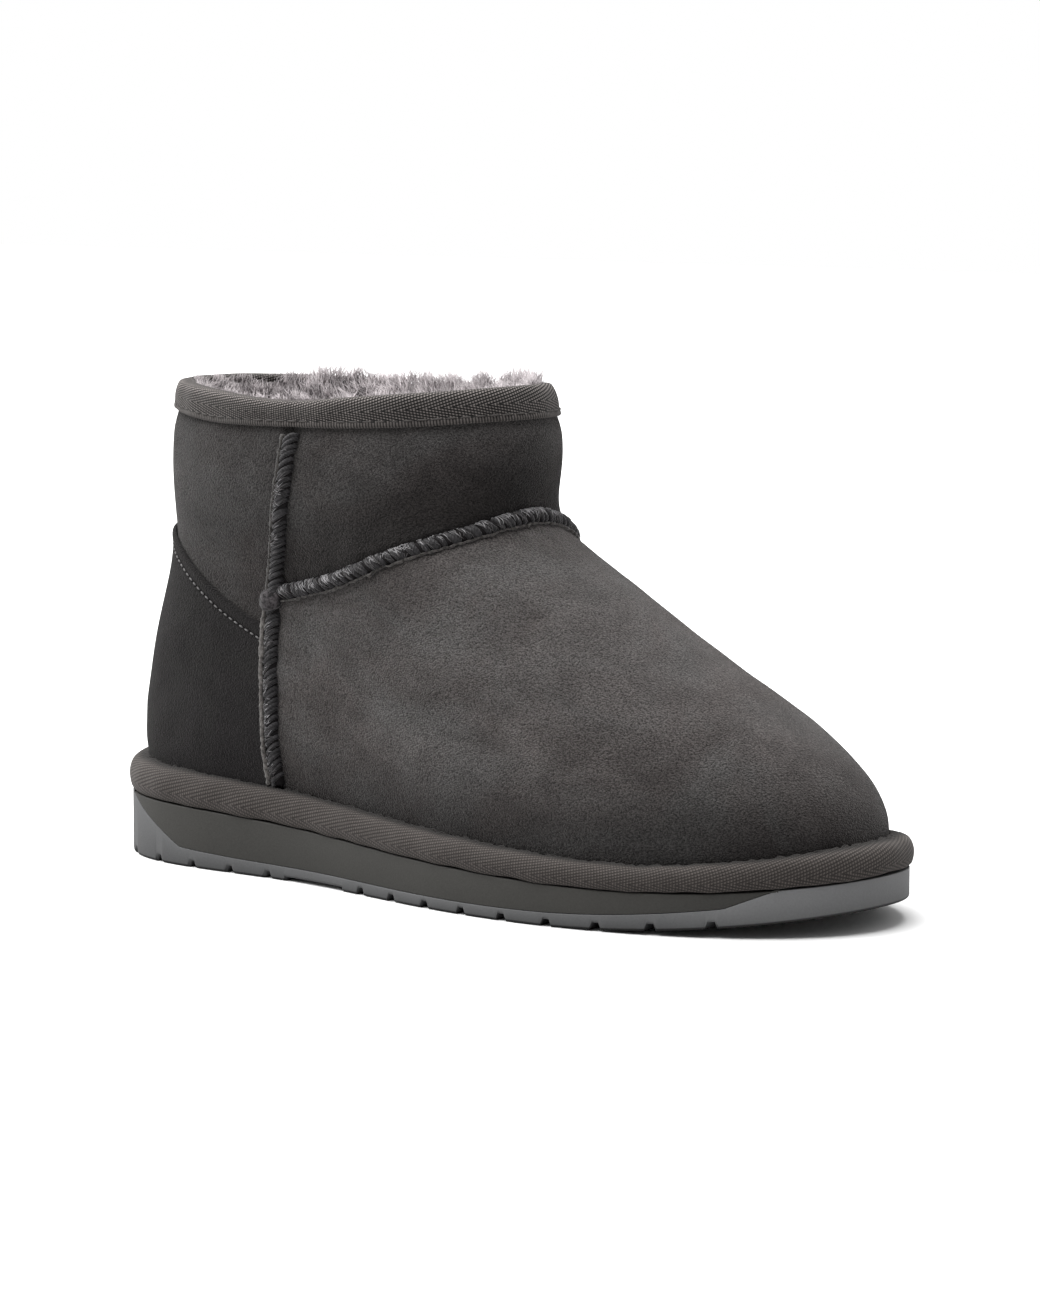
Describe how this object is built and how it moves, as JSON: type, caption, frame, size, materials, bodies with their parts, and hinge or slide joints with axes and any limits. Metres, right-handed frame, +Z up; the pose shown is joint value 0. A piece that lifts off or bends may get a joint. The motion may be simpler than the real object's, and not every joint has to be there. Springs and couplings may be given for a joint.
{
  "type": "sheepskin boot",
  "caption": "Short pull-on sheepskin boot, right foot: suede upper with fleece inside, taped collar, taped foxing roll and a low foam sole.",
  "frame": {"origin": "centre of the boot's box, on the floor that it stands on", "axes": "+X to the toe, +Y to the inner side of the foot (the wearer's left), +Z up"},
  "size_m": [0.2804, 0.1046, 0.1555],
  "materials": {
    "light_foam": "matte moulded foam",
    "dark_foam": "matte moulded foam",
    "fleece": "curly sheared wool",
    "suede": "napped suede",
    "dark_suede": "napped suede",
    "tape": "herringbone twill tape",
    "thread": "twisted thread"
  },
  "bodies": {
    "root": {"outsole": "light_foam", "midsole": "dark_foam", "insole": "fleece", "upper": "suede", "heel_counter": "dark_suede", "welt_binding": "tape", "collar_binding": "tape", "side_seam_lateral": "thread", "side_seam_medial": "thread", "instep_seam": "thread"}
  },
  "joints": []
}
